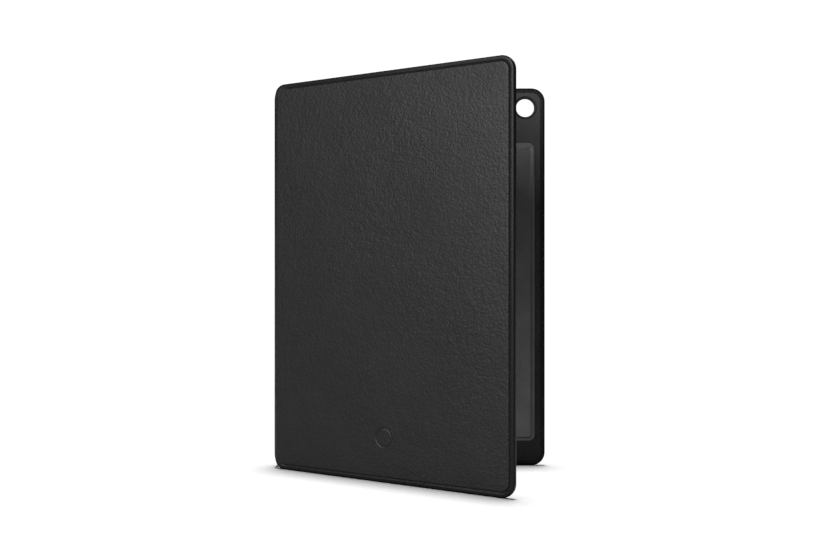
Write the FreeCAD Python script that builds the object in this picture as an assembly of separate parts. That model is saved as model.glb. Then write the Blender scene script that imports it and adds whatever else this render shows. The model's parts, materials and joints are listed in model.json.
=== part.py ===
import FreeCAD, Part
import math
import os
from FreeCAD import Vector

# Leather folio case for a 9.7 inch tablet, standing upright on its bottom edges with the front cover part open.
# X runs across the case from the spine to the free edges, Y from the front cover to the back, Z up.
# Everything is first laid out shut: x = 0 is the outside of the spine, y = 0 the inner face of the back,
# z = 0 the bottom edges. The front cover is then swung open about its fold, and the origin moved to the
# middle of the footprint. Millimetres.

# Driving dimensions
TABLET_X = 169.5
TABLET_Y = 7.5
TABLET_Z = 240.0
OVERHANG = 0.5  # the panels reach this far past the tablet, above and below it
HEIGHT = TABLET_Z + 2 * OVERHANG
CORNER_R = 8.5
OPEN_DEG = 33.5  # how far the front cover stands open

# Layers of a panel, from its outer face inwards
LEATHER = 0.9
FOAM = 0.5
BOARD = 1.2
LINING = 0.4
TURN_IN = 0.5  # leather skived where it is turned over the board's edge
LINING_RECESS = 0.1  # the lining lies this far below the turned-in leather
PANEL = LEATHER + FOAM + BOARD + LINING + LINING_RECESS
MARGIN = 3.0  # turned-in leather that shows round the lining
OUTER_FILLET = 1.1
INNER_FILLET = 0.7
FIT = 0.05  # slack between a layer and the pocket that it lies in

# Pressed crease line round each panel
CREASE_INSET = 2.2
CREASE_WIDTH = 1.0
CREASE_DEPTH = 0.3

# Tablet pad, and the space between the shut panels
PAD = 0.8
PAD_X0 = 97.0
PAD_X1 = 165.0
PAD_Z0 = 16.0
PAD_Z1 = 206.0
PAD_CORNER_R = 4.0
SHUT_CLEARANCE = 0.2
BAY = PAD - LINING_RECESS + TABLET_Y + SHUT_CLEARANCE

# Spine, and the folds beside it: leather bends round a neutral line in the middle of its thickness
SPINE_BOARD = 0.5
SPINE_BOARD_INSET = 0.5
SPINE_BOARD_END = 2.0
SPINE_THICKNESS = LEATHER + SPINE_BOARD + LINING
SPINE_CLEARANCE = 0.3  # between the spine's lining and the tablet
WIDTH = SPINE_THICKNESS + SPINE_CLEARANCE + TABLET_X  # outside of the spine to the free edges
NEUTRAL = LEATHER / 2
FOLD_R = 3.2
FOLD_EDGE = NEUTRAL + FOLD_R  # x where the panels stop and the folds begin
NOTCH = CORNER_R  # the spine is this much shorter at each end
NOTCH_LINING = 1.2  # fold linings stay this far inside the leather's edge

# Stand fold across the back
STAND_FOLD_X = 88.0
STAND_FOLD = 5.0
STAND_RELIEF = 0.5  # its ends stop this short of the panels' edges
STAND_X0 = STAND_FOLD_X - STAND_FOLD / 2
STAND_X1 = STAND_FOLD_X + STAND_FOLD / 2

# Camera window in the back, at the upper free corner
CAMERA_INSET = 12.5
CAMERA_R = 5.8
CAMERA_FLANGE_R = 7.4
CAMERA_X = WIDTH - CAMERA_INSET
CAMERA_Z = HEIGHT - CAMERA_INSET

# Magnets
MAGNET = 1.0
DISC_R = 4.0
CLOSURE_X = WIDTH - 11.0
CLOSURE_Z = (50.0, 90.0, 151.0, 191.0)
WAKE_SIZE = (6.0, 12.0)
STOP_X = (58.0, 130.0)
STOP_Z = (70.0, 171.0)
STOP_SIZE = (5.0, 20.0)
HOLD_X = 14.0
HOLD_Z = (70.0, 171.0)

# Plain ring pressed into the front cover
MARK_X = 85.5
MARK_Z = 26.5
MARK_R = 6.0
MARK_WIDTH = 1.0
MARK_DEPTH = 0.3

# Hinge lines, all parallel to Z. The spine's two lie where each shut fold turns through half its angle.
REAR_AXIS = Vector(FOLD_EDGE - FOLD_R * math.sin(math.pi / 4),
                   PANEL - NEUTRAL - FOLD_R * (1 - math.cos(math.pi / 4)), 0)
FRONT_AXIS = Vector(REAR_AXIS.x, -BAY - REAR_AXIS.y, 0)
STAND_AXIS = Vector(STAND_FOLD_X, PANEL - NEUTRAL, 0)
REAR_SPINE_Y = PANEL - NEUTRAL - FOLD_R
FRONT_SPINE_Y = -BAY - REAR_SPINE_Y
UP = Vector(0, 0, 1)


def box(x0, x1, y0, y1, z0, z1):
    return Part.makeBox(x1 - x0, y1 - y0, z1 - z0, Vector(x0, y0, z0))


def cylinder(radius, x, z, y0, y1):
    """A cylinder along Y."""
    return Part.makeCylinder(radius, y1 - y0, Vector(x, y0, z), Vector(0, 1, 0))


def rounded_prism(x0, x1, z0, z1, radius, y0, y1):
    """A rounded rectangle in XZ, from y0 to y1."""
    edges = []
    arcs = []
    centres = [(x1 - radius, z1 - radius), (x0 + radius, z1 - radius),
               (x0 + radius, z0 + radius), (x1 - radius, z0 + radius)]
    for quarter, (cx, cz) in enumerate(centres):
        points = []
        for step in range(3):
            angle = (quarter + step / 2) * math.pi / 2
            points.append(Vector(cx + radius * math.cos(angle), y0, cz + radius * math.sin(angle)))
        arcs.append(points)
    for quarter, points in enumerate(arcs):
        following = arcs[(quarter + 1) % 4]
        edges.append(Part.Arc(*points).toShape())
        edges.append(Part.LineSegment(points[2], following[0]).toShape())
    return Part.Face(Part.Wire(edges)).extrude(Vector(0, y1 - y0, 0))


def outline_prism(inset, y0, y1):
    """The panel's outline, drawn in by inset, from y0 to y1."""
    return rounded_prism(inset, WIDTH - inset, inset, HEIGHT - inset, CORNER_R - inset, y0, y1)


def edges_at_y(shape, y):
    return [e for e in shape.Edges if all(abs(v.Y - y) < 1e-6 for v in e.Vertexes)]


def between(shape, x0, x1):
    return shape.common(box(x0, x1, -20, 20, -20, HEIGHT + 20))


def leather_layer(x0, x1, window=False):
    """Outer leather turned over the board's edges, between x0 and x1: its cut ends are open at the folds."""
    slab = outline_prism(0, 0, PANEL)
    slab = slab.makeFillet(OUTER_FILLET, edges_at_y(slab, PANEL))
    slab = slab.makeFillet(INNER_FILLET, edges_at_y(slab, 0))
    cavity = outline_prism(LEATHER, TURN_IN, PANEL - LEATHER)
    recess = outline_prism(MARGIN, -1, TURN_IN)
    crease = outline_prism(CREASE_INSET, PANEL - CREASE_DEPTH, PANEL + 1)
    crease = crease.cut(outline_prism(CREASE_INSET + CREASE_WIDTH, PANEL - 1, PANEL + 2))
    if window:
        cavity = cavity.cut(cylinder(CAMERA_R + LEATHER, CAMERA_X, CAMERA_Z, -1, PANEL + 1))
        recess = recess.cut(cylinder(CAMERA_FLANGE_R, CAMERA_X, CAMERA_Z, -2, PANEL + 1))
    layer = between(slab.cut(cavity).cut(recess).cut(crease), x0, x1)
    if window:
        layer = layer.cut(cylinder(CAMERA_R, CAMERA_X, CAMERA_Z, -1, PANEL + 1))
    return layer


def inner_layer(y0, y1, inset, x0, x1, hole_r=0):
    layer = between(outline_prism(inset, y0, y1), x0, x1)
    if hole_r:
        layer = layer.cut(cylinder(hole_r, CAMERA_X, CAMERA_Z, -1, PANEL + 1))
    return layer


def lining_layer(x0, x1, lips, hole_r=0):
    """Lining on the board, with a lip down the board's end at each fold."""
    lining = inner_layer(LINING_RECESS, TURN_IN, MARGIN + FIT, x0, x1, hole_r)
    for lip in lips:
        wall = outline_prism(MARGIN + FIT, LINING_RECESS, PANEL - LEATHER)
        lining = lining.fuse(between(wall, *lip))
    return lining.removeSplitter()


def panel(prefix, x0, x1, folds, window=False):
    """The four layers of one panel, lying in the back's place."""
    lips = []
    board_x0 = x0
    board_x1 = x1
    if "left" in folds:
        lips.append((x0, x0 + LINING))
        board_x0 = x0 + LINING
    if "right" in folds:
        lips.append((x1 - LINING, x1))
        board_x1 = x1 - LINING
    sleeve_r = CAMERA_R + LEATHER + FIT if window else 0
    flange_r = CAMERA_FLANGE_R + FIT if window else 0
    foam_y = PANEL - LEATHER - FOAM
    edge = LEATHER + FIT
    return {
        prefix + "_leather": leather_layer(x0, x1, window),
        prefix + "_foam": inner_layer(foam_y, PANEL - LEATHER, edge, board_x0, board_x1, sleeve_r),
        prefix + "_board": inner_layer(TURN_IN, foam_y, edge, board_x0, board_x1, sleeve_r),
        prefix + "_lining": lining_layer(x0, x1, lips, flange_r),
    }


def disc_magnet(x, z, slack=0):
    return cylinder(DISC_R + slack, x, z, TURN_IN, TURN_IN + MAGNET)


def bar_magnet(x, z, size, slack=0):
    half_x = size[0] / 2 + slack
    half_z = size[1] / 2 + slack
    return box(x - half_x, x + half_x, TURN_IN, TURN_IN + MAGNET, z - half_z, z + half_z)


def closure_magnets(slack=0):
    return [disc_magnet(CLOSURE_X, z, slack) for z in CLOSURE_Z]


def wake_magnet(slack=0):
    return [bar_magnet(CLOSURE_X, HEIGHT / 2, WAKE_SIZE, slack)]


def stop_magnets(slack=0):
    return [bar_magnet(x, z, STOP_SIZE, slack) for x in STOP_X for z in STOP_Z]


def hold_magnets(slack=0):
    return [disc_magnet(HOLD_X, z, slack) for z in HOLD_Z]


def tablet_panel():
    nodes = panel("tablet_panel", STAND_X1, WIDTH, ("left",), window=True)
    nodes["tablet_pad"] = rounded_prism(PAD_X0, PAD_X1, PAD_Z0, PAD_Z1, PAD_CORNER_R,
                                        LINING_RECESS - PAD, LINING_RECESS)
    return nodes


def stand_panel():
    nodes = panel("stand_panel", FOLD_EDGE, STAND_X0, ("left", "right"))
    nodes["stand_panel_board"] = nodes["stand_panel_board"].cut(hold_magnets(FIT))
    nodes["stand_hold_magnets"] = Part.Compound(hold_magnets())
    return nodes


def front_cover():
    """Built in the back's place, turned over to face it across the tablet's space, then swung open."""
    nodes = panel("front", FOLD_EDGE, WIDTH, ("left",))
    pockets = closure_magnets(FIT) + wake_magnet(FIT) + stop_magnets(FIT)
    nodes["front_board"] = nodes["front_board"].cut(pockets)
    nodes["closure_magnets"] = Part.Compound(closure_magnets())
    nodes["wake_magnet"] = wake_magnet()[0]
    nodes["stand_stop_magnets"] = Part.Compound(stop_magnets())
    ring = cylinder(MARK_R, MARK_X, HEIGHT - MARK_Z, PANEL - MARK_DEPTH, PANEL + 1)
    ring = ring.cut(cylinder(MARK_R - MARK_WIDTH, MARK_X, HEIGHT - MARK_Z, 0, PANEL + 2))
    nodes["front_leather"] = nodes["front_leather"].cut(ring)
    for shape in nodes.values():
        shape.rotate(Vector(0, -BAY / 2, HEIGHT / 2), Vector(1, 0, 0), 180)
        shape.rotate(FRONT_AXIS, UP, -OPEN_DEG)
    return nodes


def spine():
    z0 = NOTCH
    z1 = HEIGHT - NOTCH
    board = box(LEATHER, LEATHER + SPINE_BOARD, FRONT_SPINE_Y + SPINE_BOARD_INSET,
                REAR_SPINE_Y - SPINE_BOARD_INSET, z0 + SPINE_BOARD_END, z1 - SPINE_BOARD_END)
    lining = box(LEATHER, SPINE_THICKNESS, FRONT_SPINE_Y, REAR_SPINE_Y, z0 + NOTCH_LINING, z1 - NOTCH_LINING)
    return {
        "spine_leather": box(0, LEATHER, FRONT_SPINE_Y, REAR_SPINE_Y, z0, z1),
        "spine_board": board,
        "spine_lining": lining.cut(board),
    }


def fold_radius(bend):
    """Neutral radius of a fold that turns through bend, when its hinge line stays where the shut fold has it."""
    reach = 2 * FOLD_R * math.sin(math.pi / 8)
    return reach * math.sin(math.radians(112.5) - bend / 2) / math.sin(bend / 2)


def notch_curve(z_panel, z_spine, length, slope):
    """Edge of a fold strip from the panel, at 0, to the spine, at length, in a chord and Z plane."""
    points = [Vector(0, 0, z_panel), Vector(length / 3, 0, z_panel + slope * length / 3),
              Vector(2 * length / 3, 0, z_spine), Vector(length, 0, z_spine)]
    curve = Part.BezierCurve()
    curve.setPoles(points)
    return curve.toShape()


def notch_prism(start, end, inset):
    """Everything between a fold strip's curved ends, from the panel's edge to the spine's."""
    length = (end - start).Length
    rise = math.sqrt(CORNER_R ** 2 - (CORNER_R - FOLD_EDGE) ** 2)
    panel_z = CORNER_R - rise + inset
    spine_z = NOTCH + inset
    slope = (CORNER_R - FOLD_EDGE) / rise
    low = notch_curve(panel_z, spine_z, length, slope)
    high = notch_curve(HEIGHT - panel_z, HEIGHT - spine_z, length, -slope)
    corners = [(0, panel_z), (-2, panel_z), (-2, HEIGHT - panel_z), (0, HEIGHT - panel_z)]
    far = [(length, HEIGHT - spine_z), (length + 2, HEIGHT - spine_z), (length + 2, spine_z), (length, spine_z)]
    edges = [low, high]
    for run in (corners, far):
        ends = [Vector(x, 0, z) for x, z in run]
        edges += [Part.LineSegment(a, b).toShape() for a, b in zip(ends, ends[1:])]
    face = Part.Face(Part.Wire(Part.__sortEdges__(edges)))
    prism = face.extrude(Vector(0, 24, 0))
    prism.translate(Vector(0, -12, 0))
    chord = end - start
    prism.rotate(Vector(0, 0, 0), UP, math.degrees(math.atan2(chord.y, chord.x)))
    prism.translate(start)
    return prism


def fold_strip(spine_y, side, bend, outside, thickness, inset):
    """A curved strip from a panel to the spine. side is 1 at the back and -1 at the front; outside is its
    depth below the leather's outer surface."""
    radius = fold_radius(bend)
    centre = Vector(NEUTRAL + radius, spine_y, 0)
    outer = radius + NEUTRAL - outside
    ring = Part.makeCylinder(outer, HEIGHT, centre, UP, math.degrees(bend))
    core = Part.makeCylinder(outer - thickness, HEIGHT + 2, centre - UP, UP, 360)
    first = 180 - math.degrees(bend) if side > 0 else 180
    strip = ring.cut(core)
    strip.rotate(centre, UP, first)
    spine_end = Vector(NEUTRAL, spine_y, 0)
    panel_end = centre + Vector(-radius * math.cos(bend), side * radius * math.sin(bend), 0)
    return strip.common(notch_prism(panel_end, spine_end, inset))


def folds():
    """Flexible strips: each layer is one piece with the panels' and the spine's on the real case."""
    rear = math.radians(90)
    front = math.radians(90 - OPEN_DEG)
    stand = outline_prism(0, 0, PANEL)
    stand = stand.makeFillet(OUTER_FILLET, edges_at_y(stand, PANEL))
    stand = stand.common(box(STAND_X0, STAND_X1, PANEL - LEATHER, PANEL, STAND_RELIEF, HEIGHT - STAND_RELIEF))
    inner = PANEL - LEATHER
    lining_end = MARGIN + FIT
    return {
        "rear_fold_leather": fold_strip(REAR_SPINE_Y, 1, rear, 0, LEATHER, 0),
        "rear_fold_lining": fold_strip(REAR_SPINE_Y, 1, rear, LEATHER, LINING, NOTCH_LINING),
        "front_fold_leather": fold_strip(FRONT_SPINE_Y, -1, front, 0, LEATHER, 0),
        "front_fold_lining": fold_strip(FRONT_SPINE_Y, -1, front, LEATHER, LINING, NOTCH_LINING),
        "stand_fold_leather": stand,
        "stand_fold_lining": box(STAND_X0, STAND_X1, inner - LINING, inner, lining_end, HEIGHT - lining_end),
    }


def build():
    """All nodes by name, and the point of the shut layout that becomes the origin."""
    nodes = {}
    for made in (tablet_panel(), stand_panel(), front_cover(), spine(), folds()):
        nodes.update(made)
    bounds = Part.Compound(list(nodes.values())).optimalBoundingBox(False)
    origin = Vector(bounds.Center.x, bounds.Center.y, bounds.ZMin)
    for shape in nodes.values():
        shape.translate(-origin)
    return nodes, origin


NODES, ORIGIN = build()
os.makedirs("parts", exist_ok=True)
for name, shape in NODES.items():
    shape.exportStep(os.path.join("parts", name + ".step"))
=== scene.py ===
import json
import math

import bmesh
import bpy
import numpy as np
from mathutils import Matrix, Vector

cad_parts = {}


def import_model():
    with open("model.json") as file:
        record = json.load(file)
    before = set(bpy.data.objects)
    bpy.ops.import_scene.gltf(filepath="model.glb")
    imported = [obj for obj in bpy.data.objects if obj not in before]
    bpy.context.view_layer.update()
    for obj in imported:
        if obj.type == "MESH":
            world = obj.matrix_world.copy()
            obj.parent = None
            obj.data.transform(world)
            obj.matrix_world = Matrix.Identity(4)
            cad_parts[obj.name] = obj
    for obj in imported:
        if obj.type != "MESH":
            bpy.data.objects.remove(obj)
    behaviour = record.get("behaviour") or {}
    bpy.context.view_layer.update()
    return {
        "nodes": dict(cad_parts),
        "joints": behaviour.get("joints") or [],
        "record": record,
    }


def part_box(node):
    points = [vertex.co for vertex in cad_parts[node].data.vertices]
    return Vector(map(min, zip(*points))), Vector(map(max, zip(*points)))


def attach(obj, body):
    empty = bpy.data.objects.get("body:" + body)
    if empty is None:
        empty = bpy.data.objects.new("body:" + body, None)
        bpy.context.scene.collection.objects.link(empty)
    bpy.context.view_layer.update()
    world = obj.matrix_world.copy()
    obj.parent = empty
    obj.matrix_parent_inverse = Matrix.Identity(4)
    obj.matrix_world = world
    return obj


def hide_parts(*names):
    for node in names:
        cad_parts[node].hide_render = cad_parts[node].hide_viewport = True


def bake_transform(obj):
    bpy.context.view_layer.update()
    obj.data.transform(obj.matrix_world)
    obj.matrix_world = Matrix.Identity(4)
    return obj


# A black leather folio tablet case, standing part open. The hide, the lining and the adhesive pad are built
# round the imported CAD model, in its own frame and in metres.
#
# Every sheet of leather or lining is laid out flat in (s, v, h): s runs along the sheet across the case, v
# runs up, and h is the depth below its good side. A path in the XY plane bends it:
# point = path(s) - h * normal(s).

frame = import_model()

MM = 0.001
joints = {joint["name"]: joint for joint in frame["joints"]}

# Sizes read from the frame. Flat x and y are counted from the spine's outside and the back's inner face.
spine_low, spine_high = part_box("spine_leather")
stand_low, stand_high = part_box("stand_panel_leather")
tablet_low, tablet_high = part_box("tablet_panel_leather")
pad_low, pad_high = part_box("tablet_pad")
X0 = spine_low.x
Y0 = stand_low.y
HEIGHT = stand_high.z
PANEL = stand_high.y - stand_low.y
LEATHER = spine_high.x - spine_low.x
WIDTH = tablet_high.x - X0
FOLD_EDGE = stand_low.x - X0
STAND_X0 = stand_high.x - X0
STAND_X1 = tablet_low.x - X0
NOTCH = spine_low.z
SPINE_REAR = spine_high.y - Y0
SPINE_FRONT = spine_low.y - Y0
OPEN = -math.radians(joints["front_hinge"]["range_deg"][0])
NEUTRAL = LEATHER / 2

# Panel details that the frame's boxes don't give
CORNER_R = 8.5 * MM
OUTER_ROUND = 1.1 * MM
INNER_ROUND = 0.7 * MM
MARGIN = 3.0 * MM  # leather turned over onto the panel's other side
TURN_IN = 0.5 * MM
RECESS = 0.1 * MM
LINING = 0.4 * MM
FIT = 0.05 * MM
WINDOW_INSET = 12.5 * MM
WINDOW_R = 5.8 * MM
WINDOW_FLANGE_R = 7.4 * MM
WINDOW_ROUND = 0.9 * MM
SEAM_LAP = 0.6 * MM  # how far from a fold two hides meet

# Relief of the leather's good side
GROOVE_INSET = 2.85 * MM
GROOVE_WIDTH = 0.46 * MM
GROOVE_DEPTH = 0.74 * MM
GROOVE_START = 4.5 * MM  # where the groove begins beside the spine, and the length over which it deepens
GROOVE_RUN_IN = 7.0 * MM
BEAD_DROP = 0.2 * MM
BEAD_RUN = 1.2 * MM
RIM_INSET = 2.3 * MM  # the rim outside the groove gets painted shade: a darker colour and less reflection
RIM_BLUR = 0.5 * MM
CROWN = 0.22 * MM
CROWN_START = 1.5 * MM
CROWN_REACH = 9.0 * MM
BROAD_SWELL = 0.035 * MM
CLOSE_SWELL = 0.012 * MM
RING_U = 85.5 * MM
RING_V = 26.5 * MM
RING_R = 5.5 * MM  # middle of the pressed ring's line
RING_HALF_WIDTH = 0.65 * MM
RING_WALL = 0.4 * MM
RING_DEPTH = 0.3 * MM

# Folds: edge thickness, roundings and margin where no board stiffens the leather
FOLD_EDGE_DEPTH = 1.15 * MM
FOLD_OUTER_ROUND = 0.6 * MM
FOLD_INNER_ROUND = 0.42 * MM
FOLD_MARGIN = 1.3 * MM
FOLD_POCKET = 0.1 * MM
FOLD_EASE = 1.8 * MM
STAND_EASE = 0.6 * FOLD_EASE
STAND_EDGE_RISE = 0.5 * MM

# Creases worn in the folds: (share of the way across, depth in mm), and how they start from the edge
SPINE_FOLD_CREASES = ((0.08, 0.07), (0.36, 0.10), (0.62, 0.08), (0.95, 0.11))
STAND_FOLD_CREASES = ((0.05, 0.09), (0.5, 0.09), (0.95, 0.09))
STAND_HOLLOW = 0.30 * MM
WORN_START = 0.6 * MM
WORN_RUN_IN = 2.5 * MM

# Mesh spacing
CELL = 1.6 * MM
FINE_CELL = 0.25 * MM
FOLD_CELL = 0.35 * MM
LINING_CELL = 0.22 * MM
ARC_STEPS = 6
GRID_INSET = 4.2 * MM  # the hide's grid ends here, and rings go on to the edge
RELIEF_INSETS_MM = (3.85, 3.6, 3.4, 3.2, 3.05, 2.9, 2.75, 2.6, 2.45, 2.3, 2.1, 1.8, 1.5, 1.2)
RING_REACH = 7 * MM  # fine cells round the pressed ring
PAST_FOLD = 2.4 * MM  # fine cells beside a fold


def smooth(x):
    """A soft step from 0 at 0 to 1 at 1."""
    x = np.clip(x, 0, 1)
    return x * x * (3 - 2 * x)


def bump(x, centre, half_width):
    """1 at the centre, falling smoothly to nothing half_width away."""
    return smooth(1 - np.abs(x - centre) / half_width)


def waves(count, length, seed):
    """A gentle random relief, of plane waves about as long as length, with a height of about 1."""
    source = np.random.default_rng(seed)
    angles = source.uniform(0, math.pi, count)
    sizes = length * source.uniform(0.6, 1.7, count)
    phases = source.uniform(0, 2 * math.pi, count)

    def relief(s, v):
        total = np.zeros(np.broadcast(s, v).shape)
        for angle, size, phase in zip(angles, sizes, phases):
            total += np.sin((s * math.cos(angle) + v * math.sin(angle)) * 2 * math.pi / size + phase)
        return total / math.sqrt(count)

    return relief


broad_waves = waves(count=18, length=34 * MM, seed=1)
close_waves = waves(count=26, length=7 * MM, seed=2)


def meander(v, centre):
    """How far a worn crease wanders from straight at height v. Each centre gives another line."""
    slow = 0.35 * MM * np.sin(v / (23 * MM) + centre * 900)
    quick = 0.2 * MM * np.sin(v / (7.1 * MM) + centre * 300)
    return slow + quick


class Path:
    """A line in flat x and y with an outward normal, read by the distance s along it."""

    def __init__(self, s, points, normals, hide_s=None):
        self.s = np.asarray(s, float)
        self.points = np.asarray(points, float)
        self.normals = np.asarray(normals, float)
        self.hide_s = hide_s  # on a lining's path, the hide's s at each point

    def at(self, s):
        """The points and unit normals at these distances."""
        p = np.stack([np.interp(s, self.s, self.points[:, k]) for k in (0, 1)], -1)
        n = np.stack([np.interp(s, self.s, self.normals[:, k]) for k in (0, 1)], -1)
        return p, n / np.linalg.norm(n, axis=-1, keepdims=True)

    def place(self, s, v, h):
        """World points of flat sheet points."""
        p, n = self.at(s)
        xy = p - n * np.asarray(h)[..., None]
        return np.stack([xy[..., 0] + X0, xy[..., 1] + Y0, np.broadcast_to(v, xy[..., 0].shape)], -1)

    def cut_at(self, end):
        """A lining's path, cut off at this distance."""
        keep = self.s < end - 1e-9
        point, normal = self.at(end)
        hide_end = np.interp(end, self.s, self.hide_s)
        return Path(np.append(self.s[keep], end), np.vstack([self.points[keep], point]),
                    np.vstack([self.normals[keep], normal]), np.append(self.hide_s[keep], hide_end))


def path_of(pieces):
    """A path made of lines, ("line", start, end, normal), and arcs.

    An arc is ("arc", centre, radius, first angle, last angle, length along the path).
    """
    s, points, normals = [0.0], [], []
    for piece in pieces:
        if piece[0] == "line":
            start, end, normal = (np.array(value, float) for value in piece[1:])
            shares = np.linspace(0, 1, 3)
            made = start + (end - start) * shares[:, None]
            faced = np.repeat(normal[None], len(shares), 0)
            length = np.linalg.norm(end - start)
        else:
            centre, radius, first, last, length = piece[1:]
            shares = np.linspace(0, 1, 97)
            angle = first + (last - first) * shares
            faced = np.stack([np.cos(angle), np.sin(angle)], -1)
            made = np.array(centre) + radius * faced
        keep = slice(1, None) if points else slice(None)
        base = s[-1]
        s = (s if points else []) + list(base + length * shares[keep])
        points += list(made[keep])
        normals += list(faced[keep])
    return Path(s, points, normals)


def fold_radius(bend):
    """Neutral radius of a fold turned through bend, whose hinge line stays where the shut fold has it."""
    eighth = math.pi / 8
    reach = 2 * (FOLD_EDGE - NEUTRAL) * math.sin(eighth)
    return reach * math.sin(5 * eighth - bend / 2) / math.sin(bend / 2)


# The front hide: spine, front fold, front cover
FRONT_BEND = math.pi / 2 - OPEN
front_radius = fold_radius(FRONT_BEND)
FRONT_FOLD = FRONT_BEND * front_radius
SPINE_SPAN = SPINE_REAR - SPINE_FRONT - SEAM_LAP
front_centre = (NEUTRAL + front_radius, SPINE_FRONT)
front_outer = front_radius + NEUTRAL
cover_normal = np.array([-math.sin(OPEN), -math.cos(OPEN)])
cover_along = np.array([math.cos(OPEN), -math.sin(OPEN)])
cover_start = np.array(front_centre) + front_outer * cover_normal
COVER_SPAN = WIDTH - FOLD_EDGE
front_path = path_of([
    ("line", (0, SPINE_FRONT + SPINE_SPAN), (0, SPINE_FRONT), (-1, 0)),
    ("arc", front_centre, front_outer, math.pi, math.pi + FRONT_BEND, FRONT_FOLD),
    ("line", cover_start, cover_start + cover_along * COVER_SPAN, cover_normal),
])

# The stand hide: a lap on the spine, rear fold, stand panel
REAR_RADIUS = FOLD_EDGE - NEUTRAL
REAR_FOLD = REAR_RADIUS * math.pi / 2
STAND_END = STAND_X0 - SEAM_LAP
stand_path = path_of([
    ("line", (0, SPINE_REAR - SEAM_LAP), (0, SPINE_REAR), (-1, 0)),
    ("arc", (FOLD_EDGE, SPINE_REAR), FOLD_EDGE, math.pi, math.pi / 2, REAR_FOLD),
    ("line", (FOLD_EDGE, PANEL), (STAND_END, PANEL), (0, 1)),
])

# The tablet hide: a lap on the stand panel, stand fold, tablet panel
tablet_path = path_of([("line", (STAND_END, PANEL), (WIDTH, PANEL), (0, 1))])


class Hide:
    """What a sheet of the hide is like along s: its lower edge, its edge's depth, its margin."""

    def __init__(self, path, u_shift, fold=None, stand=None, free=True):
        self.path = path
        self.u_shift = u_shift  # flat x of a panel point is s + u_shift
        self.fold = fold  # (spine end, panel end) of the fold beside the spine, in s
        self.stand = stand  # (start, end) of the stand fold, in s
        self.free = free  # whether the sheet ends at a free edge
        self.end = path.s[-1]

    def fold_share(self, s):
        """1 on the spine and in its fold, 0 on a panel."""
        if self.fold is None:
            return np.zeros_like(s)
        return smooth((self.fold[1] - s) / FOLD_EASE)

    def stand_share(self, s):
        """1 in the stand fold, 0 on the panels beside it."""
        if self.stand is None:
            return np.zeros_like(s)
        middle = sum(self.stand) / 2
        half = (self.stand[1] - self.stand[0]) / 2
        return smooth((half - np.abs(s - middle)) / STAND_EASE)

    def soft_share(self, s):
        """1 in any fold, 0 on a panel."""
        return np.maximum(self.fold_share(s), self.stand_share(s))

    def edge(self, s):
        """Height of the sheet's lower edge, and the rise of an inset line for each metre of inset."""
        s = np.asarray(s, float)
        u = np.clip(s + self.u_shift, 0, CORNER_R)
        across = CORNER_R - u
        rise = np.sqrt(CORNER_R ** 2 - across ** 2)
        v = np.where(u < CORNER_R, CORNER_R - rise, 0.0)
        slope = np.where(u < CORNER_R, -across / np.maximum(rise, 1e-6), 0.0)
        if self.fold is not None:
            spine_end, panel_end = self.fold
            first = CORNER_R - math.sqrt(CORNER_R ** 2 - (CORNER_R - FOLD_EDGE) ** 2)
            steep = (CORNER_R - FOLD_EDGE) / (CORNER_R - first)
            span = panel_end - spine_end
            t = np.clip((panel_end - s) / span, 0, 1)
            curve = ((1 - t) ** 3 * first + 3 * (1 - t) ** 2 * t * (first + steep * span / 3)
                     + (3 * (1 - t) * t ** 2 + t ** 3) * NOTCH)
            here = s < panel_end
            v = np.where(here, curve, v)
            slope = np.where(here, -steep * (1 - t) ** 2, slope)
        v = v + STAND_EDGE_RISE * self.stand_share(s)
        return v, np.sqrt(1 + slope ** 2)

    def depth(self, s):
        """Depth of the sheet's edge: the board's thickness on a panel, thin in a fold."""
        return PANEL + (FOLD_EDGE_DEPTH - PANEL) * self.soft_share(s)

    def margin(self, s):
        """How far the leather is turned over onto the other side."""
        return MARGIN + (FOLD_MARGIN - MARGIN) * self.soft_share(s)

    def pocket(self, s):
        """Depth of the step from the turned margin down to what the lining lies on."""
        return TURN_IN + (FOLD_POCKET - TURN_IN) * self.soft_share(s)

    def crease(self, s):
        """Share of the groove's full depth: it dies away towards the spine and at the stand fold."""
        near_spine = 1.0
        if self.fold is not None:
            near_spine = smooth((s + self.u_shift - GROOVE_START) / GROOVE_RUN_IN)
        return near_spine * (1 - self.stand_share(s))

    def relief(self, s, v, inset):
        """Depth of the good side below the panel's face."""
        crease = self.crease(s)
        deep = GROOVE_DEPTH * np.exp(-((inset - GROOVE_INSET) / GROOVE_WIDTH) ** 2) * crease
        deep += BEAD_DROP * smooth((GROOVE_INSET - inset) / BEAD_RUN) * crease
        face = smooth((inset - GROOVE_INSET) / CROWN_START) * (1 - self.soft_share(s))
        deep -= face * CROWN * (1 - np.exp(-(inset - GROOVE_INSET) / CROWN_REACH))
        deep -= face * (BROAD_SWELL * broad_waves(s + self.u_shift, v) + CLOSE_SWELL * close_waves(s, v))
        worn = smooth((inset - WORN_START) / WORN_RUN_IN)
        for centre, half_width, depth in self.worn_lines():
            deep += depth * worn * bump(s + meander(v, centre), centre, half_width)
        return deep

    def worn_lines(self):
        """Creases that the folds have worn in the leather: centre and half width in s, and depth."""
        lines = []
        if self.fold is not None:
            start, end = self.fold
            for share, depth in SPINE_FOLD_CREASES:
                lines.append((start + (end - start) * share, 0.55 * MM, depth * MM))
        if self.stand is not None:
            start, end = self.stand
            lines.append(((start + end) / 2, (end - start) / 2 + 0.6 * MM, STAND_HOLLOW))
            for share, depth in STAND_FOLD_CREASES:
                lines.append((start + (end - start) * share, 0.5 * MM, depth * MM))
        return lines


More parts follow.
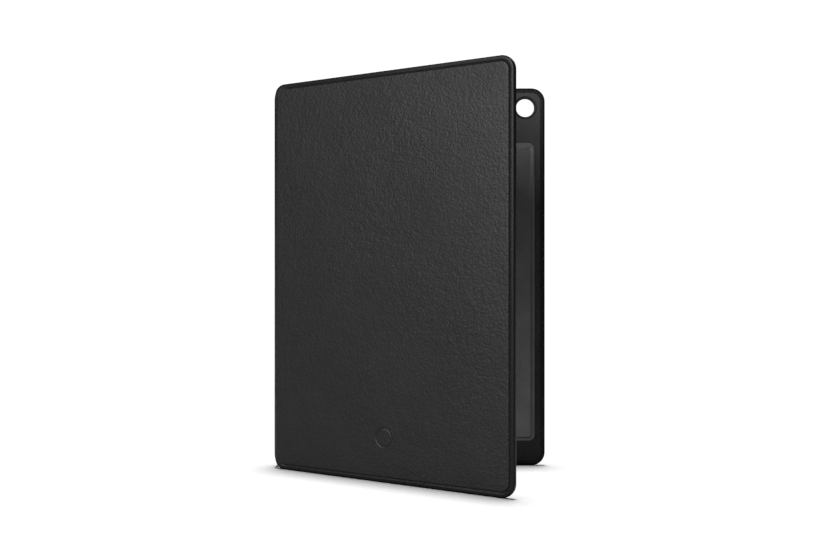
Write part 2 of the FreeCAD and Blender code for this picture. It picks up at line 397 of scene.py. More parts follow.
front = Hide(front_path, FOLD_EDGE - SPINE_SPAN - FRONT_FOLD, fold=(SPINE_SPAN, SPINE_SPAN + FRONT_FOLD))
stand = Hide(stand_path, FOLD_EDGE - SEAM_LAP - REAR_FOLD, fold=(SEAM_LAP, SEAM_LAP + REAR_FOLD), free=False)
tablet = Hide(tablet_path, STAND_END, stand=(STAND_X0 - STAND_END, STAND_X1 - STAND_END))


def ring_mark(s, v):
    """The plain ring pressed into the front cover."""
    centre = RING_U - front.u_shift
    out = np.hypot(s - centre, v - RING_V)
    return RING_DEPTH * smooth((RING_HALF_WIDTH - np.abs(out - RING_R)) / RING_WALL)


def spaced(start, end, step):
    """Evenly spaced values from start to end, about step apart."""
    return np.linspace(start, end, max(2, int(round((end - start) / step)) + 1))


def stations(start, end, fine):
    """Stations from start to end: CELL apart, and closer in the fine stretches (low, high, step)."""
    marks = [start]
    for low, high, step in fine:
        low, high = max(low, start), min(high, end)
        if low > marks[-1] + 1e-6:
            marks += list(spaced(marks[-1], low, CELL)[1:])
        marks += list(spaced(low, high, step)[1:])
    if end > marks[-1] + 1e-6:
        marks += list(spaced(marks[-1], end, CELL)[1:])
    return np.array(marks)


def add_object(name, data):
    """A new object with this data, in the scene."""
    made = bpy.data.objects.new(name, data)
    bpy.context.scene.collection.objects.link(made)
    return made


def finish_surface(data, flat, sharp_degrees):
    """Keeps each point's flat coordinates for the grain, turns the faces outward and shades them."""
    kept = data.attributes.new("hide", "FLOAT_VECTOR", "POINT")
    kept.data.foreach_set("vector", np.array(flat, np.float32).ravel())
    work = bmesh.new()
    work.from_mesh(data)
    bmesh.ops.recalc_face_normals(work, faces=work.faces)
    work.to_mesh(data)
    work.free()
    data.shade_smooth()
    data.set_sharp_from_angle(angle=math.radians(sharp_degrees))


class Sheet:
    """Builds a closed sheet: a good side, a back, and the rings that join them round the edges."""

    def __init__(self, hide, path, inset, corner, columns, rows, grid_inset):
        self.hide = hide
        self.path = path
        self.inset = inset  # function of s: how far this sheet's own edge lies inside the hide's edge
        self.corner = corner
        self.columns = columns
        self.rows = rows
        self.grid_inset = grid_inset  # where the grid ends and the rings begin
        self.end = path.s[-1]
        self.points = []
        self.faces = []
        self.flat = []
        self.rims = []
        self.layout()

    def chain(self, inset):
        """The line at this inset: along the bottom, round the free edge and back along the top."""
        columns = self.columns
        edge, rise = self.hide.edge(self.hide_s(columns))
        v = edge + (inset + self.inset(self.hide_s(columns))) * rise
        if not self.hide.free:
            return (np.concatenate([columns, columns[::-1]]), np.concatenate([v, (HEIGHT - v)[::-1]]))
        own = self.inset(self.hide_s(self.end))
        radius = self.corner - inset
        centre = self.end - self.corner
        angle = np.linspace(-math.pi / 2, 0, 2 * ARC_STEPS + 1)[1:-1]
        low = own + self.corner
        arc_s = centre + radius * np.cos(angle)
        arc_v = low + radius * np.sin(angle)
        side_s = np.full(len(self.rows), self.end - inset)
        s = np.concatenate([columns, arc_s, side_s, arc_s[::-1], columns[::-1]])
        return s, np.concatenate([v, arc_v, self.rows, (HEIGHT - arc_v)[::-1], (HEIGHT - v)[::-1]])

    def hide_s(self, s):
        """The hide's own s for a station of this sheet. A lining's path differs, as it steps over boards."""
        if self.path is self.hide.path:
            return s
        return np.interp(s, self.path.s, self.path.hide_s)

    def layout(self):
        """The innermost ring as the border of a grid, and the grid inside it."""
        s, v = self.chain(self.grid_inset)
        if self.hide.free:
            self.ni = len(self.columns) + ARC_STEPS
            self.nj = len(self.rows) + 2 * ARC_STEPS
        else:
            self.ni = len(self.columns)
            self.nj = len(self.rows)
        ni, nj = self.ni, self.nj
        border = np.stack([s, v], -1)
        bottom = border[:ni]
        top = border[-ni:][::-1]
        if self.hide.free:
            right = border[ni - 1:ni + nj - 1]
            share = (right[:, 1] - right[0, 1]) / (right[-1, 1] - right[0, 1])
        else:
            share = (self.rows - self.rows[0]) / (self.rows[-1] - self.rows[0])
            right = bottom[-1] + (top[-1] - bottom[-1]) * share[:, None]
        left = bottom[0] + (top[0] - bottom[0]) * share[:, None]
        across = (bottom[:, 0] - bottom[0, 0]) / (bottom[-1, 0] - bottom[0, 0])
        a = across[:, None, None]
        t = share[None, :, None]
        corners = ((1 - a) * (1 - t) * bottom[0] + a * (1 - t) * bottom[-1]
                   + (1 - a) * t * top[0] + a * t * top[-1])
        upright = (1 - t) * bottom[:, None] + t * top[:, None]
        level = (1 - a) * left[None] + a * right[None]
        self.grid = upright + level - corners

    def add(self, s, v, h, rim=0.0):
        """Adds points and returns their numbers, in the shape that they came in. rim is 1 where the rim's
        painted shade goes.
        """
        s, v, h, rim = np.broadcast_arrays(s, v, h, rim)
        start = len(self.points)
        self.points += [tuple(p) for p in self.path.place(s.ravel(), v.ravel(), h.ravel())]
        self.flat += list(zip(s.ravel() + self.hide.u_shift, v.ravel(), h.ravel()))
        self.rims += list(rim.ravel() * (1 - self.hide.soft_share(self.hide_s(s.ravel()))))
        return np.arange(start, len(self.points)).reshape(s.shape)

    def strip(self, a, b, closed=False):
        """Quads between two lines of points."""
        count = len(a) if closed else len(a) - 1
        for k in range(count):
            m = (k + 1) % len(a)
            self.faces.append((a[k], a[m], b[m], b[k]))

    def grid_faces(self, numbers, block=None):
        """Quads over a grid of points, but for a block of cells that a hole takes the place of."""
        ni, nj = numbers.shape
        for i in range(ni - 1):
            for j in range(nj - 1):
                if block and block[0] <= i < block[1] and block[2] <= j < block[3]:
                    continue
                corners = (numbers[i, j], numbers[i + 1, j], numbers[i + 1, j + 1], numbers[i, j + 1])
                self.faces.append(corners)

    def border(self, numbers):
        """The grid's border in the chain's order."""
        bottom, top = numbers[:, 0], numbers[::-1, -1]
        if self.hide.free:
            return np.concatenate([bottom, numbers[-1, 1:-1], top])
        return np.concatenate([bottom, top])

    def join(self, a, b):
        """Quads between two rings. Where the sheet has no free edge, the top and bottom are apart."""
        if self.hide.free:
            self.strip(a, b)
        else:
            self.strip(a[:self.ni], b[:self.ni])
            self.strip(a[self.ni:], b[self.ni:])

    def build(self, good, back, rings, hole=None):
        """Makes the whole sheet. good and back give h over the grid.

        The rings are (inset, h, rim), from the good side over the edge to the back.
        """
        s, v = self.grid[..., 0], self.grid[..., 1]
        front_side = self.add(s, v, good(s, v))
        back_side = self.add(s, v, back(s, v))
        block = self.hole_block(hole) if hole else None
        self.grid_faces(front_side, block)
        self.grid_faces(back_side, block)
        lines = [self.border(front_side)]
        edge_s = self.hide_s(self.chain(0.0)[0])
        for inset, deep, rim in rings:
            ring_s, ring_v = self.ring_points(inset(edge_s) if callable(inset) else inset)
            lines.append(self.add(ring_s, ring_v, deep(ring_s, ring_v), rim))
        lines.append(self.border(back_side))
        for a, b in zip(lines, lines[1:]):
            self.join(a, b)
        self.cap(lines, front_side[0], back_side[0], 0)
        if not self.hide.free:
            self.cap(lines, front_side[-1], back_side[-1], self.ni - 1)
        if hole:
            self.hole_rings(hole, block, front_side, back_side)
        return self

    def ring_points(self, inset):
        """The chain at an inset that may differ from point to point."""
        if np.isscalar(inset):
            return self.chain(inset)
        levels = np.unique(np.round(inset, 6))
        s, v = self.chain(levels[0])
        s, v = s.copy(), v.copy()
        for level in levels[1:]:
            here = np.isclose(np.round(inset, 6), level, atol=1e-9)
            level_s, level_v = self.chain(level)
            s[here], v[here] = level_s[here], level_v[here]
        return s, v

    def cap(self, lines, good_column, back_column, end):
        """Closes a cut end: a strip between the two sides, and a small face at the top and at the bottom."""
        self.strip(good_column, back_column)
        for at in (end, -1 - end):
            self.faces.append(tuple(line[at] for line in lines))

    def hole_block(self, hole):
        """The block of cells that the hole takes the place of."""
        reach = hole["reach"]
        s = self.grid[:, self.nj // 2, 0]
        v = self.grid[self.ni // 2, :, 1]
        i0 = int(np.searchsorted(s, hole["s"] - reach)) - 1
        i1 = min(int(np.searchsorted(s, hole["s"] + reach)), self.ni - 2)
        j0 = int(np.searchsorted(v, hole["v"] - reach)) - 1
        j1 = min(int(np.searchsorted(v, hole["v"] + reach)), self.nj - 2)
        return i0, i1, j0, j1

    def block_loop(self, numbers, block):
        """The points round a block, in order."""
        i0, i1, j0, j1 = block
        sides = [numbers[i0:i1, j0], numbers[i1, j0:j1], numbers[i1:i0:-1, j1], numbers[i0, j1:j0:-1]]
        return np.concatenate(sides)

    def hole_rings(self, hole, block, front_side, back_side):
        """Rings from the good side's block, through the hole, to the back's block."""
        outer = self.block_loop(front_side, block)
        flat = np.array(self.flat)[outer]
        around_s = flat[:, 0] - self.hide.u_shift - hole["s"]
        around_v = flat[:, 1] - hole["v"]
        distance = np.hypot(around_s, around_v)
        cosine, sine = around_s / distance, around_v / distance
        lines = [outer]
        for share, radius, deep in hole["rings"]:
            reach = radius + (distance - radius) * share
            lines.append(self.add(hole["s"] + reach * cosine, hole["v"] + reach * sine, deep))
        lines.append(self.block_loop(back_side, block))
        for a, b in zip(lines, lines[1:]):
            self.strip(a, b, closed=True)

    def mesh(self, name):
        """The finished object, with what its material reads kept on its points."""
        data = bpy.data.meshes.new(name)
        points = [tuple(map(float, point)) for point in self.points]
        faces = [tuple(map(int, face)) for face in self.faces]
        data.from_pydata(points, [], faces)
        rim = data.attributes.new("rim", "FLOAT", "POINT")
        rim.data.foreach_set("value", np.array(self.rims, np.float32))
        finish_surface(data, self.flat, sharp_degrees=40)
        return add_object(name, data)


def at_depth(h):
    """A level surface of a sheet, h below its good side."""
    return lambda s, v: np.full_like(s, h)


def edge_rings(hide):
    """Rings of a hide from its face, over the edge, in over the margin and down into the lining's pocket."""

    def on_face(inset):
        return lambda s, v: hide.relief(s, v, np.full_like(s, inset))

    def over_outer_edge(share):
        def deep(s, v):
            fold_round = OUTER_ROUND + (FOLD_OUTER_ROUND - OUTER_ROUND) * hide.soft_share(s)
            return BEAD_DROP * hide.crease(s) * (1 - share) + share * fold_round
        return deep

    def inner_round(s):
        return INNER_ROUND + (FOLD_INNER_ROUND - INNER_ROUND) * hide.soft_share(s)

    def inner_inset(angle):
        return lambda s: inner_round(s) * (1 - math.cos(angle))

    def inner_depth(angle):
        return lambda s, v: hide.depth(s) - inner_round(s) * (1 - math.sin(angle))

    def margin_inset(share):
        return lambda s: INNER_ROUND + (hide.margin(s) - INNER_ROUND) * share

    def under_margin(lift):
        return lambda s, v: hide.depth(s) - lift

    def pocket_floor(s, v):
        return hide.depth(s) - hide.pocket(s)

    rings = []
    for inset in RELIEF_INSETS_MM:
        # Painted shade: how much of the rim's darkening this inset gets
        rim_shade_share = float(smooth((RIM_INSET - inset * MM) / RIM_BLUR))
        rings.append((inset * MM, on_face(inset * MM), rim_shade_share))
    for step in range(1, 7):
        angle = step / 6 * math.pi / 2
        rings.append((OUTER_ROUND * (1 - math.sin(angle)), over_outer_edge(1 - math.cos(angle)), 1.0))
    for step in range(5):
        angle = step / 4 * math.pi / 2
        rings.append((inner_inset(angle), inner_depth(angle), 1.0))
    for share in (0.35, 0.7, 0.96):
        rings.append((margin_inset(share), under_margin(0.0), 0.0))
    rings.append((hide.margin, under_margin(0.08 * MM), 0.0))
    rings.append((hide.margin, pocket_floor, 0.0))
    rings.append((LEATHER, pocket_floor, 0.0))
    for inset in (LEATHER, 2.2 * MM):
        rings.append((inset, at_depth(LEATHER), 0.0))
    return rings


def inset_of(hide, s, v, own_end):
    """Distance from a sheet point to the hide's edge."""
    edge, rise = hide.edge(s)
    up = (np.minimum(v, HEIGHT - v) - edge) / rise
    return np.minimum(up, own_end - s) if hide.free else up


def hide_sheet(hide, columns, rows, hole=None, extra=None):
    """A sheet of leather. extra(s, v) is a depth that is pressed into its face as well."""
    sheet = Sheet(hide, hide.path, np.zeros_like, CORNER_R, columns, rows, GRID_INSET)

    def good(s, v):
        deep = hide.relief(s, v, inset_of(hide, s, v, sheet.end))
        return deep + extra(s, v) if extra else deep

    return sheet.build(good, at_depth(LEATHER), edge_rings(hide), hole)


def window_rings():
    """The leather rolled through the camera window: (share of the way out to the grid, radius, h)."""
    lip = WINDOW_R + WINDOW_ROUND
    rings = [(0.5, lip, -0.1 * MM), (0.0, lip + 0.5 * MM, -0.06 * MM)]
    for step in range(6):
        angle = step / 5 * math.pi / 2
        rings.append((0.0, lip - WINDOW_ROUND * math.sin(angle), WINDOW_ROUND * (1 - math.cos(angle))))
    for step in range(5):
        angle = step / 4 * math.pi / 2
        radius = WINDOW_R + INNER_ROUND * (1 - math.cos(angle))
        rings.append((0.0, radius, PANEL - INNER_ROUND * (1 - math.sin(angle))))
    wall = WINDOW_R + LEATHER
    pocket = PANEL - TURN_IN
    for radius, deep in ((WINDOW_FLANGE_R - 0.1 * MM, PANEL), (WINDOW_FLANGE_R, PANEL - 0.1 * MM),
                         (WINDOW_FLANGE_R, pocket), (wall, pocket), (wall, LEATHER)):
        rings.append((0.0, radius, deep))
    return rings


def straight_rows(corner, low, fine):
    """Stations up the free edge, between its corners."""
    return stations(low + corner, HEIGHT - low - corner, fine)


ring_s = RING_U - front.u_shift
front_columns = stations(0.0, front.end - CORNER_R, [
    (SPINE_SPAN - 1 * MM, front.fold[1] + PAST_FOLD, FOLD_CELL),
    (ring_s - RING_REACH, ring_s + RING_REACH, FINE_CELL)])
front_rows = straight_rows(CORNER_R, 0, [(RING_V - RING_REACH, RING_V + RING_REACH, FINE_CELL)])
front_hide = hide_sheet(front, front_columns, front_rows, extra=ring_mark).mesh("front_hide")

stand_columns = stations(0.0, stand.end, [(0.0, stand.fold[1] + PAST_FOLD, FOLD_CELL)])
stand_rows = stations(0.0, HEIGHT, [])
stand_hide = hide_sheet(stand, stand_columns, stand_rows).mesh("stand_hide")

window_s = WIDTH - WINDOW_INSET - tablet.u_shift
window_v = HEIGHT - WINDOW_INSET
tablet_columns = stations(0.0, tablet.end - CORNER_R, [(0.0, tablet.stand[1] + 1.5 * MM, FOLD_CELL)])
tablet_rows = straight_rows(CORNER_R, 0, [])
window = {"s": window_s, "v": window_v, "reach": 7.4 * MM, "rings": window_rings()}
tablet_hide = hide_sheet(tablet, tablet_columns, tablet_rows, hole=window).mesh("tablet_hide")


def lining_path(hide, steps):
    """The path of a lining's good side, from (hide's s, depth of the lining's middle) steps, smoothed."""
    line = np.array(steps, float)
    for _ in range(3):
        near = line[:-1] * 0.75 + line[1:] * 0.25
        far = line[:-1] * 0.25 + line[1:] * 0.75
        line = np.concatenate([line[:1], np.stack([near, far], 1).reshape(-1, 2), line[-1:]])
    dense = []
    for a, b in zip(line, line[1:]):
        count = max(1, int(np.linalg.norm(b - a) / (0.4 * MM)))
        dense += [a + (b - a) * k / count for k in range(count)]
    dense = np.array(dense + [line[-1]])
    p, n = hide.path.at(dense[:, 0])
    middle = p - n * dense[:, 1:2]
    tangent = np.gradient(middle, axis=0)
    tangent /= np.linalg.norm(tangent, axis=1, keepdims=True)
    normal = np.stack([tangent[:, 1], -tangent[:, 0]], -1)
    if np.sum(normal[-1] * n[-1]) > 0:
        normal = -normal
    good_side = middle + normal * LINING / 2
    length = np.concatenate([[0], np.cumsum(np.linalg.norm(np.diff(middle, axis=0), axis=1))])
    return Path(length, good_side, normal, hide_s=dense[:, 0])


# Depth of the lining's middle on a panel, in a fold and on the spine, and how far past a fold it steps up
PANEL_LINING = PANEL - RECESS - LINING / 2
FOLD_LINING = LEATHER + LINING / 2 + 0.02 * MM
SPINE_LINING = LEATHER + 0.5 * MM + LINING / 2 + 0.02 * MM
LIP = 0.22 * MM
STEP_RUN = 0.8 * MM
LINING_ROUND = 0.12 * MM


def lining_sheet(hide, path, name, hole=None):
    """A sheet of lining, which lies inside the leather's turned margin."""
    corner = CORNER_R - MARGIN - FIT
    fold_end = hide.fold[1] if hide.fold else hide.stand[1]
    soft_end = path.s[np.argmax(path.hide_s > fold_end + 1.2 * MM)]
    end = path.s[-1] - MARGIN - FIT if hide.free else path.s[-1]
    trimmed = path.cut_at(end)
    columns = stations(0.0, end - corner if hide.free else end, [(0.0, soft_end, LINING_CELL)])
    rows = straight_rows(corner, MARGIN + FIT, []) if hide.free else stations(0.0, HEIGHT, [])

    def inset(s):
        return hide.margin(np.asarray(s, float)) + FIT

    sheet = Sheet(hide, trimmed, inset, corner, columns, rows, grid_inset=0.6 * MM)
    rings = [(0.3 * MM, at_depth(0.0), 0.0)]
    for step in range(4):
        angle = step / 3 * math.pi / 2
        deep = LINING_ROUND * (1 - math.cos(angle))
        rings.append((LINING_ROUND * (1 - math.sin(angle)), at_depth(deep), 0.0))
    rings.append((0.0, at_depth(LINING), 0.0))
    if hole:
        hole = dict(hole, s=np.interp(hole["s"], trimmed.hide_s, trimmed.s))
    return sheet.build(at_depth(0.0), at_depth(LINING), rings, hole).mesh(name)


def onto_panel(fold_end, end):
    """A lining's last steps: out of a fold, up onto the panel and on to its end."""
    top = fold_end + LIP
    return [(fold_end - 0.35 * MM, FOLD_LINING), (top, FOLD_LINING + 0.05 * MM), (top, PANEL_LINING),
            (top + STEP_RUN, PANEL_LINING), (end, PANEL_LINING)]


off_spine = [(0.0, SPINE_LINING), (SPINE_SPAN - 0.9 * MM, SPINE_LINING), (SPINE_SPAN + 0.2 * MM, FOLD_LINING)]
front_lining_path = lining_path(front, off_spine + onto_panel(front.fold[1], front.end))
stand_lining_path = lining_path(stand, [(0.0, FOLD_LINING)] + onto_panel(stand.fold[1], stand.end))
down = tablet.stand[0] - LIP
up = tablet.stand[1] + LIP
tablet_lining_path = lining_path(tablet, [
    (0.0, PANEL_LINING), (down - 0.15 * MM, PANEL_LINING), (down + 0.1 * MM, FOLD_LINING),
    (up, FOLD_LINING), (up, PANEL_LINING), (up + STEP_RUN, PANEL_LINING), (tablet.end, PANEL_LINING)])

front_suede = lining_sheet(front, front_lining_path, "front_suede")
stand_suede = lining_sheet(stand, stand_lining_path, "stand_suede")
flange = WINDOW_FLANGE_R + FIT
flange_rings = [(0.4, flange + 0.4 * MM, 0.0), (0.0, flange + 0.1 * MM, 0.0),
                (0.0, flange, 0.1 * MM), (0.0, flange, LINING)]
lining_hole = {"s": window_s, "v": window_v, "reach": 7.9 * MM, "rings": flange_rings}
tablet_suede = lining_sheet(tablet, tablet_lining_path, "tablet_suede", lining_hole)


PAD_CORNER_R = 4 * MM
PAD_ARC_STEPS = 12
# The pad's section from its foot, over the edge and through the channel round it: (inset, depth) in mm
PAD_SECTION = ((0.0, 0.8), (0.0, 0.25), (0.05, 0.12), (0.14, 0.04), (0.3, 0.0), (2.0, 0.0),
               (2.15, 0.06), (2.3, 0.14), (2.7, 0.14), (2.85, 0.06), (3.0, 0.0))


def tablet_pad():
    """The reusable adhesive pad: a soft slab with a channel pressed round it."""
    points = []
    faces = []
    right = pad_high.x - PAD_CORNER_R
    left = pad_low.x + PAD_CORNER_R
    top = pad_high.z - PAD_CORNER_R
    bottom = pad_low.z + PAD_CORNER_R
    centres = ((right, top), (left, top), (left, bottom), (right, bottom))
    for inset, deep in PAD_SECTION:
        reach = PAD_CORNER_R - inset * MM
        for quarter, (centre_x, centre_z) in enumerate(centres):
            for step in range(PAD_ARC_STEPS + 1):
                angle = (quarter + step / PAD_ARC_STEPS) * math.pi / 2
                x = centre_x + reach * math.cos(angle)
                z = centre_z + reach * math.sin(angle)
                points.append((x, pad_low.y + deep * MM, z))
    count = 4 * (PAD_ARC_STEPS + 1)
    for k in range(len(PAD_SECTION) - 1):
        low = k * count
        high = low + count
        for m in range(count):
            n = (m + 1) % count
            faces.append((low + m, low + n, high + n, high + m))
    faces.append(tuple(range(count)))
    faces.append(tuple(range((len(PAD_SECTION) - 1) * count, len(PAD_SECTION) * count)))
    data = bpy.data.meshes.new("adhesive_pad")
    data.from_pydata(points, [], faces)
    finish_surface(data, [(x, z, y - pad_low.y) for x, y, z in points], sharp_degrees=35)
    return add_object("adhesive_pad", data)


adhesive_pad = tablet_pad()


# Materials

class Nodes:
    """A material's node tree, with a Principled shader."""

    def __init__(self, name):
        self.material = bpy.data.materials.new(name)
        self.material.use_nodes = True
        self.tree = self.material.node_tree
        self.shader = self.tree.nodes["Principled BSDF"]

    def add(self, kind, **values):
        """A node with these values on its sockets, or on itself where it has no such socket."""
        node = self.tree.nodes.new("ShaderNode" + kind)
        for name, value in values.items():
            if name in node.inputs:
                node.inputs[name].default_value = value
            else:
                setattr(node, name, value)
        return node

    def link(self, source, target):
        self.tree.links.new(source, target)

    def set(self, **values):
        """Sets values on the shader's own sockets."""
        for name, value in values.items():
            self.shader.inputs[name.replace("_", " ")].default_value = value

    def math(self, operation, a, b=0.0, c=0.0):
        """A Math node over numbers or other nodes' outputs."""
        node = self.add("Math", operation=operation)
        for socket, value in zip(node.inputs, (a, b, c)):
            if isinstance(value, (int, float)):
                socket.default_value = value
            else:
                self.link(value, socket)
        return node.outputs[0]

    def drawn(self, vector, degrees, stretch):
        """Coordinates that draw a texture out along a direction of the sheet."""
        node = self.add("Mapping", vector_type="TEXTURE")
        node.inputs["Rotation"].default_value = (0, 0, math.radians(degrees))
        node.inputs["Scale"].default_value = (stretch, 1, 1)
        self.link(vector, node.inputs["Vector"])
        return node.outputs["Vector"]

    def noise(self, vector, scale, detail=2.0, roughness=0.5, distortion=0.0):
        node = self.add("TexNoise", Scale=scale, Detail=detail, Roughness=roughness, Distortion=distortion)
        self.link(vector, node.inputs["Vector"])
        return node.outputs["Fac"]

    def voronoi(self, vector, scale, feature="F1"):
        node = self.add("TexVoronoi", feature=feature)
        node.inputs["Scale"].default_value = scale
        self.link(vector, node.inputs["Vector"])
        return node.outputs["Distance"]

    def spread(self, value, low, high, to_low, to_high):
        """Maps low to high onto to_low to to_high."""
        node = self.add("MapRange")
        self.link(value, node.inputs["Value"])
        for name, number in (("From Min", low), ("From Max", high), ("To Min", to_low), ("To Max", to_high)):
            node.inputs[name].default_value = number
        return node.outputs["Result"]

    def colours(self, value, stops):
        """A colour ramp from (position, colour) stops."""
        node = self.add("ValToRGB")
        ramp = node.color_ramp
        ramp.elements[0].position, ramp.elements[0].color = stops[0]
        ramp.elements[1].position, ramp.elements[1].color = stops[-1]
        for position, colour in stops[1:-1]:
            ramp.elements.new(position).color = colour
        self.link(value, node.inputs["Fac"])
        return node.outputs["Color"]

    def bump(self, height, strength, distance):
        """Gives the shader this relief."""
        node = self.add("Bump", Strength=strength, Distance=distance)
        self.link(height, node.inputs["Height"])
        self.link(node.outputs["Normal"], self.shader.inputs["Normal"])


def grey(level):
    """A nearly neutral grey, very slightly cool."""
    return (level, level, level * 1.02, 1.0)


def leather_material(name, specular):
    """Black napa: pebbled grain about a millimetre across, fine wrinkles, and a slightly uneven gloss.

    On the rim the grain is pressed flatter and the leather is smoother, and its colour is a little darker
    there as painted shade.
    """
    m = Nodes(name)
    hide = m.add("Attribute", attribute_name="hide").outputs["Vector"]
    rim = m.add("Attribute", attribute_name="rim").outputs["Fac"]
    warp = m.add("TexNoise", Scale=260.0, Detail=2.0)
    m.link(hide, warp.inputs["Vector"])
    centred = m.add("VectorMath", operation="SUBTRACT")
    m.link(warp.outputs["Color"], centred.inputs[0])
    centred.inputs[1].default_value = (0.5, 0.5, 0.5)
    scaled = m.add("VectorMath", operation="SCALE", Scale=0.0016)
    m.link(centred.outputs[0], scaled.inputs[0])
    warped = m.add("VectorMath", operation="ADD")
    m.link(hide, warped.inputs[0])
    m.link(scaled.outputs[0], warped.inputs[1])
    grain_at = warped.outputs[0]

    pebbles = m.voronoi(grain_at, scale=760.0, feature="SMOOTH_F1")
    small_pebbles = m.voronoi(grain_at, scale=1700.0, feature="SMOOTH_F1")
    drawn_out = m.drawn(grain_at, degrees=40, stretch=2.3)
    wrinkles = m.noise(drawn_out, scale=470.0, detail=3.0, roughness=0.55, distortion=0.5)
    worked = m.noise(hide, scale=16.0)
    pores = m.noise(hide, scale=2600.0)
    clouds = m.noise(hide, scale=22.0, detail=3.0, roughness=0.55)
    patches = m.noise(hide, scale=95.0, detail=3.0, roughness=0.55)

    height = m.math("MULTIPLY_ADD", pebbles, -0.55, m.math("MULTIPLY", small_pebbles, -0.25))
    worked_wrinkles = m.math("MULTIPLY", wrinkles, m.spread(worked, 0.38, 0.62, 0.5, 1.5))
    height = m.math("ADD", worked_wrinkles, height)
    height = m.math("MULTIPLY_ADD", pores, 0.12, height)
    height = m.math("MULTIPLY", height, m.spread(rim, 0.0, 1.0, 1.0, 0.35))
    m.bump(height, strength=0.45, distance=0.0006)

    tone = m.math("MULTIPLY_ADD", patches, 0.35, m.math("MULTIPLY", clouds, 0.65))
    tone = m.math("MULTIPLY_ADD", pebbles, -0.2, tone)
    # Painted shade: the colour is darker on the rim
    tone = m.math("MULTIPLY_ADD", rim, -0.2, tone)
    colour = m.colours(tone, [(0.25, grey(0.0018)), (0.45, grey(0.0028)), (0.7, grey(0.0046))])
    m.link(colour, m.shader.inputs["Base Color"])
    uneven = m.math("MULTIPLY_ADD", wrinkles, 0.5, m.math("MULTIPLY", clouds, 0.5))
    roughness = m.spread(uneven, 0.3, 0.7, 0.54, 0.44)
    m.link(m.math("MULTIPLY_ADD", rim, -0.08, roughness), m.shader.inputs["Roughness"])
    m.set(Specular_IOR_Level=specular)
    return m.material


def lining_material():
    """Charcoal microfibre: a short nap, tufted at a millimetre, light and dark where it was stroked."""
    m = Nodes("microfibre")
    hide = m.add("Attribute", attribute_name="hide").outputs["Vector"]
    fibres = m.noise(hide, scale=3800.0, detail=3.0, roughness=0.7)
    tufts = m.noise(hide, scale=1000.0, detail=3.0, roughness=0.65, distortion=0.6)
    drawn_out = m.drawn(hide, degrees=75, stretch=2.2)
    strokes = m.noise(drawn_out, scale=42.0, detail=5.0, roughness=0.62, distortion=0.5)
    clouds = m.noise(hide, scale=14.0)
    m.bump(m.math("MULTIPLY_ADD", fibres, 0.6, m.math("MULTIPLY", tufts, 0.7)), strength=0.8, distance=0.0005)
    tone = m.math("MULTIPLY_ADD", fibres, 0.3, m.math("MULTIPLY", strokes, 0.22))
    tone = m.math("MULTIPLY_ADD", tufts, 0.33, m.math("MULTIPLY_ADD", clouds, 0.15, tone))
    colour = m.colours(tone, [(0.38, grey(0.011)), (0.5, grey(0.018)), (0.62, grey(0.029))])
    m.link(colour, m.shader.inputs["Base Color"])
    m.link(m.spread(strokes, 0.3, 0.7, 0.98, 0.84), m.shader.inputs["Roughness"])
    m.set(Specular_IOR_Level=0.15, Sheen_Weight=0.22, Sheen_Roughness=0.5)
    return m.material


def pad_material():
    """Dark grey gel foam with tiny suction cells, which takes a satin shine."""
    m = Nodes("gel_foam")
    hide = m.add("Attribute", attribute_name="hide").outputs["Vector"]
    cells = m.voronoi(hide, scale=2300.0)
    clouds = m.noise(hide, scale=60.0, detail=3.0, roughness=0.6)
    dust = m.noise(hide, scale=1400.0)
    m.bump(m.math("MULTIPLY_ADD", cells, 0.8, m.math("MULTIPLY", dust, 0.2)), strength=0.35, distance=0.00025)
    tone = m.math("MULTIPLY_ADD", cells, 0.3, m.math("MULTIPLY", clouds, 0.7))
    colour = m.colours(tone, [(0.25, grey(0.030)), (0.5, grey(0.042)), (0.75, grey(0.058))])
    m.link(colour, m.shader.inputs["Base Color"])
    m.link(m.spread(clouds, 0.3, 0.7, 0.42, 0.30), m.shader.inputs["Roughness"])
    m.set(Specular_IOR_Level=0.5)
    return m.material


def plain_material(name, low, high, scale, roughness, metallic=0.0):
    """A hidden layer's material: fibre board, foam or plated magnet."""
    m = Nodes(name)
    speckle = m.noise(m.add("TexCoord").outputs["Object"], scale, detail=4.0, roughness=0.65)
    m.link(m.colours(speckle, [(0.3, grey(low)), (0.7, grey(high))]), m.shader.inputs["Base Color"])
    m.link(m.spread(speckle, 0.3, 0.7, roughness + 0.06, roughness - 0.06), m.shader.inputs["Roughness"])
    m.bump(speckle, strength=0.25, distance=0.0002)
    m.set(Metallic=metallic)
    return m.material


leather = leather_material("black_napa", specular=0.14)
# Painted shade: a copy of the leather with less reflection, for the rim
rim_shade_leather = leather_material("rim_painted_shade", specular=0.09)
microfibre = lining_material()
gel = pad_material()
node_materials = {
    "board": plain_material("fibre_board", 0.05, 0.11, 900.0, 0.8),
    "foam": plain_material("black_foam", 0.02, 0.045, 1800.0, 0.92),
    "magnet": plain_material("plated_magnet", 0.55, 0.65, 300.0, 0.28, 1.0),
}
slots = {part["node"]: part["material_slot"] for part in frame["record"]["subparts"]}
for node, shown in frame["nodes"].items():
    finish = node_materials.get(slots[node])
    if finish is not None:
        shown.data.materials.clear()
        shown.data.materials.append(finish)

for piece, finish, slot_name in (
        (front_hide, leather, "leather"),
        (stand_hide, leather, "leather"),
        (tablet_hide, leather, "leather"),
        (front_suede, microfibre, "lining"),
        (stand_suede, microfibre, "lining"),
        (tablet_suede, microfibre, "lining"),
        (adhesive_pad, gel, "adhesive_pad")):
    piece.data.materials.append(finish)


def paint_rim_shade(piece):
    """Gives the rim outside the groove a darker, less reflective copy of the leather, as painted shade."""
    piece.data.materials.append(rim_shade_leather)
    rim = np.empty(len(piece.data.vertices), np.float32)
    piece.data.attributes["rim"].data.foreach_get("value", rim)
    for polygon in piece.data.polygons:
        if rim[list(polygon.vertices)].mean() > 0.45:
            polygon.material_index = 1


for piece in (front_hide, stand_hide, tablet_hide):
    paint_rim_shade(piece)
